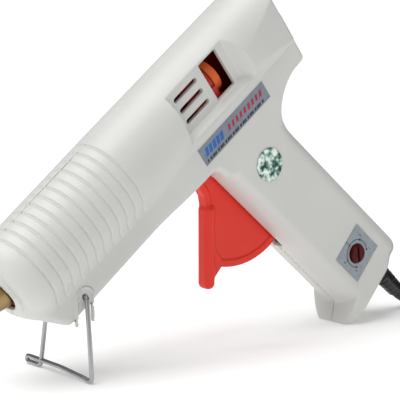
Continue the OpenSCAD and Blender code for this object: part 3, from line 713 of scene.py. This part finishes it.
def stand_route():
    """Middle line of the wire: out of one side of the keel, down, hairpin, across and back up."""
    top = standing([(STAND_AT[0], 0, STAND_AT[1])])[0] / MM
    foot = top[0] - 1.2
    near = [(top[0], KEEL_HALF - 3, top[2])]
    near += upright_arc(top[0], LEG_Y - 1.2, top[2] - 1.2, (1.2, 1.2), range(90, -1, -15))
    route = near + [(foot, FOOT_Y, 2.4), (foot, FOOT_Y + 0.5, 1.4), (foot, FOOT_Y + 1.6, 1.0)]
    route += [(foot, LOOP_Y - 1, 1.0)]
    route += upright_arc(foot, LOOP_Y - 1, 2.2, (1.3, 1.2), range(-60, 61, 15))
    route += [(foot, LOOP_Y - 2, 3.4), (foot, 4, 3.0), (foot, 5 - FOOT_Y, 1.6), (foot, 1.6 - FOOT_Y, 1.0)]
    route += [(foot, 0.5 - FOOT_Y, 1.4), (foot, -FOOT_Y, 2.4)]
    return route + [(x, -y, z) for x, y, z in reversed(near)]


def smoothed(points, per_span=6, corner=0.8):
    """Points with each corner cut back to a short curve."""
    p = np.asarray(points, float)
    made = [p[0]]
    for a, b, c in zip(p, p[1:], p[2:]):
        reach = min(corner, np.linalg.norm(a - b) / 2, np.linalg.norm(c - b) / 2)
        start = b + (a - b) / np.linalg.norm(a - b) * reach
        end = b + (c - b) / np.linalg.norm(c - b) * reach
        for k in range(per_span + 1):
            t = k / per_span
            made.append((1 - t) ** 2 * start + 2 * t * (1 - t) * b + t * t * end)
    made = made + [p[-1]]
    kept = [made[0]]
    for q in made[1:]:
        if np.linalg.norm(q - kept[-1]) > 0.05:
            kept.append(q)
    return np.array(kept)


points, faces = tube(smoothed(stand_route()) * MM, WIRE_R * MM, 16)
add_mesh("stand_wire", points, faces, WIRE, "stand", ["stand"])

# ---- dial ----


KNOB_R, KNOB_FACE, FLANGE_R, SHAFT_R = 4.3, -16.8, 6.2, 1.55


def knob_field(x, y, z):
    face = both(cylinder(x, z, DIAL_AT, KNOB_R), KNOB_FACE - y, 0.6)
    u, v = x - DIAL_AT[0], z - DIAL_AT[1]
    turn = math.radians(30)
    across = u * math.cos(turn) - v * math.sin(turn)
    along = u * math.sin(turn) + v * math.cos(turn)
    slot = both(np.abs(across) - 0.6, np.abs(along) - 3.4, 0.3)
    face = both(face, -np.maximum(slot, y - KNOB_FACE - 1), 0.15)
    flange = both(cylinder(x, z, DIAL_AT, FLANGE_R), slab(y, -12.6, -11), 0.3)
    shaft = np.maximum(np.hypot(u, v) - SHAFT_R, -15 - y)
    return np.maximum(np.minimum(np.maximum(face, y + 10), flange), -shaft)


knob_span = spaced(-6.8, 6.8, 0.3)
add_moulding(
    "dial_knob", knob_field, (DIAL_AT[0] + knob_span, spaced(-17.3, -9.5, 0.3), DIAL_AT[1] + knob_span),
    KNOB, "knob", ["temperature_knob"])

PRINT_Y = -HANDLE_HALF - 0.2


def flat_print(name, outlines, material, thick=0.04):
    """Thin printed shapes that lie on the left face, each an outline of [x, z] points, as one piece."""
    points, faces = [], []
    for outline in outlines:
        first, n = len(points), len(outline)
        points += [(x, y, z) for y in (PRINT_Y + 0.02, PRINT_Y - thick) for x, z in outline]
        faces.append(tuple(first + k for k in range(n)))
        faces.append(tuple(first + 2 * n - 1 - k for k in range(n)))
        faces += [
            (first + (k + 1) % n, first + k, first + n + k, first + n + (k + 1) % n) for k in range(n)
        ]
    add_mesh(name, standing(points), faces, material, "housing").data.shade_flat()


def bar_shape(a, b, width):
    """Outline of a straight stroke from a to b."""
    a, b = np.array(a), np.array(b)
    d = (b - a) / math.dist(a, b) * width / 2
    n = np.array([-d[1], d[0]])
    return [tuple(q) for q in (a - n, b - n, b + n, a + n)]


def on_dial(radius, degrees):
    """Point on the dial's face, by its angle from the direction of the handle's upper end."""
    a = math.radians(degrees + 90) + LEAN
    return (DIAL_AT[0] + 0.1 + radius * math.cos(a), DIAL_AT[1] + radius * math.sin(a))


MARKS = (-130, -65, 0, 65, 130)
SCALE_R, DIGIT_R = 6.5, 8.4
scale_arc = [
    bar_shape(on_dial(SCALE_R, a - 5.3), on_dial(SCALE_R, a + 5.3), 0.36) for a in range(-125, 126, 10)
]
dots = [[around(on_dial(SCALE_R, a), 0.55, 45 * k) for k in range(8)] for a in MARKS]
flat_print("dial_scale", scale_arc, INK)
flat_print("dial_dots", dots, INK, 0.06)


def add_digit(value, at):
    """Adds one generic number of the dial's scale, upright along the handle."""
    data = bpy.data.curves.new(f"digit_{value}", "FONT")
    data.body, data.size, data.extrude = str(value), 2.3, 0.02
    data.align_x = data.align_y = "CENTER"
    text = bpy.data.objects.new(data.name, data)
    shape = text.evaluated_get(bpy.context.evaluated_depsgraph_get()).to_mesh()
    flat = np.array([v.co for v in shape.vertices])
    faces = [tuple(f.vertices) for f in shape.polygons]
    c, s = math.cos(LEAN), math.sin(LEAN)
    u, v = flat[:, 0] * c - flat[:, 1] * s, flat[:, 0] * s + flat[:, 1] * c
    points = np.stack([at[0] + u, PRINT_Y - 0.02 - flat[:, 2], at[1] + v], 1)
    text.to_mesh_clear()
    digit = add_mesh(data.name, standing(points), faces, INK, "housing")
    digit.data.shade_flat()
    bpy.data.objects.remove(text)


for value, angle in enumerate(MARKS, 1):
    add_digit(value, on_dial(DIGIT_R, angle))

# ---- name label's generic print ----


def slanted(x, z, width, height):
    """Outline of an upright bar that leans like italic print."""
    lean = 0.35 * height
    return [(x, z), (x + width, z), (x + width + lean, z + height), (x + lean, z + height)]


block = [slanted(105.4 + 2.55 * k, -19.2, 1.9, 3.6) for k in range(5)]
marks = [slanted(121.5 + 2.75 * k, -18.6, 1.5, 2.6) for k in range(9)]
small = [slanted(104.6 + 1.75 * k, -21.7, 0.9 + 0.35 * ((k * 7) % 3), 1.25) for k in range(23)]
flat_print("name_block", block, INK_BLUE)
flat_print("name_marks", marks, INK_RED)
flat_print("name_line", small, INK)

# ---- strain relief ----

RELIEF_LEN, RIB_PITCH, FLANGE_OUT_R = 25.0, 3, 6
RELIEF_OUT = (math.sin(LEAN), -math.cos(LEAN))


def relief_field(x, y, z):
    side, above = on_handle(x, z, EXIT_AT)
    out = -above
    r = np.hypot(side, y)
    taper = 5.0 - 0.045 * np.clip(out, 0, RELIEF_LEN)
    turn = np.arctan2(y, side)
    ring = np.floor(out / RIB_PITCH)
    groove = np.abs(out - RIB_PITCH * (ring + 0.5)) - 0.8
    window = np.cos(2 * (turn + ring * math.pi / 2)) + 0.6
    skin = both(r - taper, slab(out, 0.25, RELIEF_LEN), 0.5)
    cut = np.maximum(np.maximum(groove, 3.9 - r), -0.9 * window)
    skin = both(skin, -np.where((out > 0.4) & (out < 24), cut, 9.0), 0.2)
    neck = both(r - 4, slab(out, -3.5, 0.6))
    flange = both(r - FLANGE_OUT_R, slab(out, -6, -3), 0.3)
    solid = np.minimum(np.minimum(skin, neck), flange)
    return np.maximum(solid, -np.maximum(r - 3.3, out - (RELIEF_LEN - 1.5)))


def relief_grid(axis):
    ends = [EXIT_AT[axis] - 7 * RELIEF_OUT[axis], EXIT_AT[axis] + (RELIEF_LEN + 1) * RELIEF_OUT[axis]]
    return spaced(min(ends) - 7, max(ends) + 7, 0.32)


add_moulding(
    "ribbed_relief", relief_field, (relief_grid(0), spaced(-6.5, 6.5, 0.32), relief_grid(1)),
    RELIEF, "housing", ["strain_relief"])

# ---- cord ----

CORD_R = 3.25
HANK_X, HANK_Y, HANK_R = (75.0, 179.0), -17.4, 20.0
LAYERS = (3.85, 10.35, 16.85, 23.35)     # heights of the hank's turns
relief_start, relief_end = (
    standing([(EXIT_AT[0] + out * RELIEF_OUT[0], 0, EXIT_AT[1] + out * RELIEF_OUT[1])])[0] / MM
    for out in (18, RELIEF_LEN)
)
START_ROUTE = [
    tuple(relief_start), tuple(relief_end), (46.2, 0, 6.9), (50.5, 0.2, 4.9), (55, 0.7, 3.7),
    (60, 1.5, 3.4), (65, 2.2, 3.5), (70, 2.5, 3.7),
]
END_ROUTE = [
    (161, -37.2, 23.6), (155, -36, 24.5), (148, -33.1, 26.4), (141, -29, 28.8), (134, -24, 31.2),
    (127, -19.9, 32.9), (121, -18, 33.5), (117, -17.4, 33.6), (108, -17.4, 33.6),
]


def round_end(centre_x, degrees, heights):
    return [(*around((centre_x, HANK_Y), HANK_R, a), z) for a, z in zip(degrees, heights)]


def hank_route():
    """Turns on top of each other: out along one run, round, back along the other, then up to the next."""
    near, far = HANK_X
    made = []
    for z, next_z in zip(LAYERS, LAYERS[1:] + LAYERS[-1:]):
        made += [(x, HANK_Y + HANK_R, z) for x in np.linspace(near, far, 7)[:-1]]
        made += round_end(far, range(90, -90, -15), [z] * 12)
        if next_z == z:
            return made + [(x, HANK_Y - HANK_R, z) for x in (far, 172, 166)]
        rise = z + (next_z - z) * ease(0, 1, np.linspace(0, 1, 15))
        made += [(x, HANK_Y - HANK_R, z) for x in (far, 162, 145, 128)]
        made += [(x, HANK_Y - HANK_R, h) for x, h in zip((111, 97, 86), rise)]
        made += round_end(near, range(270, 119, -15), rise[3:14])
        made += round_end(near, (105,), (next_z,))


def spline_through(points, steps=4):
    """Catmull-Rom curve through points."""
    p = np.asarray(points, float)
    p = np.vstack([2 * p[0] - p[1], p, 2 * p[-1] - p[-2]])
    made = []
    for i in range(1, len(p) - 2):
        a, b, c, d = p[i - 1], p[i], p[i + 1], p[i + 2]
        for k in range(steps):
            t = k / steps
            made.append(0.5 * (2 * b + (c - a) * t + (2 * a - 5 * b + 4 * c - d) * t * t
                               + (3 * b - a - 3 * c + d) * t ** 3))
    return np.array(made + [p[-2]])


def add_cord():
    """Adds the whole cord from inside the strain relief to inside the plug, as one round curve."""
    route = spline_through(START_ROUTE + hank_route() + END_ROUTE) * MM
    data = bpy.data.curves.new("cord", "CURVE")
    data.dimensions = "3D"
    data.bevel_depth = CORD_R * MM
    data.bevel_resolution = 5
    data.use_fill_caps = True
    spline = data.splines.new("POLY")
    spline.points.add(len(route) - 1)
    spline.points.foreach_set("co", np.hstack([route, np.ones((len(route), 1))]).ravel())
    spline.use_smooth = True
    data.materials.append(CORD)
    obj = bpy.data.objects.new("cord", data)
    bpy.context.scene.collection.objects.link(obj)
    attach(obj, "housing")
    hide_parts("mains_cord", "cord_hank", "cord_end")
    return obj


cord = add_cord()

# ---- tie and plug ----

TIE_AT, PLUG_AT = (171.0, HANK_Y, 0), (117.0, HANK_Y, 33.6)


def tie_field(x, y, z):
    half = HANK_R + CORD_R
    outer = both(np.abs(y) - half - 0.8, slab(z, 0, 27.4), 1.6)
    inner = both(np.abs(y) - half, slab(z, 0.65, 26.6), 1.2)
    return both(both(outer, -inner, 0.2), np.abs(x) - 4, 0.3)


tie = add_lying(
    "hank_tie", tie_field, (spaced(-4.7, 4.7, 0.4), spaced(-25, 25, 0.4), spaced(-0.7, 28.2, 0.4)), TIE_AT,
    TIE, ["cord_tie"])

PLUG_SIDE = Outline(rounded(
    [(-16, -7), (-16, 7), (-24, 17.6), (-40, 17.6), (-52, 11), (-52, -11), (-40, -17.6),
     (-24, -17.6)],
    [1, 1, 5, 5, 2, 2, 5, 5]), 6, 0.4)


PLUG_HALF, SLEEVE_R = 6.85, 4.6


def plug_field(x, y, z):
    body = both(PLUG_SIDE(x, y), np.abs(z) - PLUG_HALF, 1.6)
    grip = np.abs((x + 32) % 3 - 1.5) - 0.55
    ribs = np.maximum(np.maximum(grip, 15.9 - np.abs(y)), slab(x, -40, -24))
    body = both(body, -np.maximum(ribs, np.abs(z) - 4.6), 0.25)
    r = np.hypot(y, z)
    sleeve = both(r - SLEEVE_R, slab(x, -17, 0), 0.8)
    rings = np.maximum(np.abs(x % 3 - 1.5) - 0.6, 3.9 - r)
    sleeve = both(sleeve, -np.where(slab(x, -13.5, -1.5) < 0, rings, 9.0), 0.2)
    return either(body, sleeve, 1.0)


plug = add_lying(
    "mains_plug", plug_field, (spaced(-53, 1, 0.5), spaced(-18.6, 18.6, 0.5), spaced(-7.6, 7.6, 0.5)),
    PLUG_AT, PLUG, ["plug_body"])

# ---- floor ----


def add_floor():
    mesh = bpy.data.meshes.new("floor")
    size = 30.0
    corners = [(-size, -size, 0), (size, -size, 0), (size, size, 0), (-size, size, 0)]
    mesh.from_pydata(corners, [], [(0, 1, 2, 3)])
    floor = bpy.data.objects.new("floor", mesh)
    s = Surface("floor_paper", rough=0.8)
    s.colour(s.noise(3, 2), [(0.3, (0.93, 0.93, 0.93)), (0.7, (0.95, 0.95, 0.95))])
    s.shader.inputs["Emission Color"].default_value = (1, 1, 1, 1)
    s.shader.inputs["Emission Strength"].default_value = 0.2
    mesh.materials.append(s.material)
    bpy.context.scene.collection.objects.link(floor)
    floor.location.z = -0.0002


def add_world():
    world = bpy.data.worlds.new("studio")
    world.use_nodes = True
    background = world.node_tree.nodes["Background"]
    background.inputs["Color"].default_value = (1, 1, 1, 1)
    background.inputs["Strength"].default_value = 0.28
    bpy.context.scene.world = world
    bpy.context.scene.view_settings.view_transform = "Standard"


add_floor()
add_world()
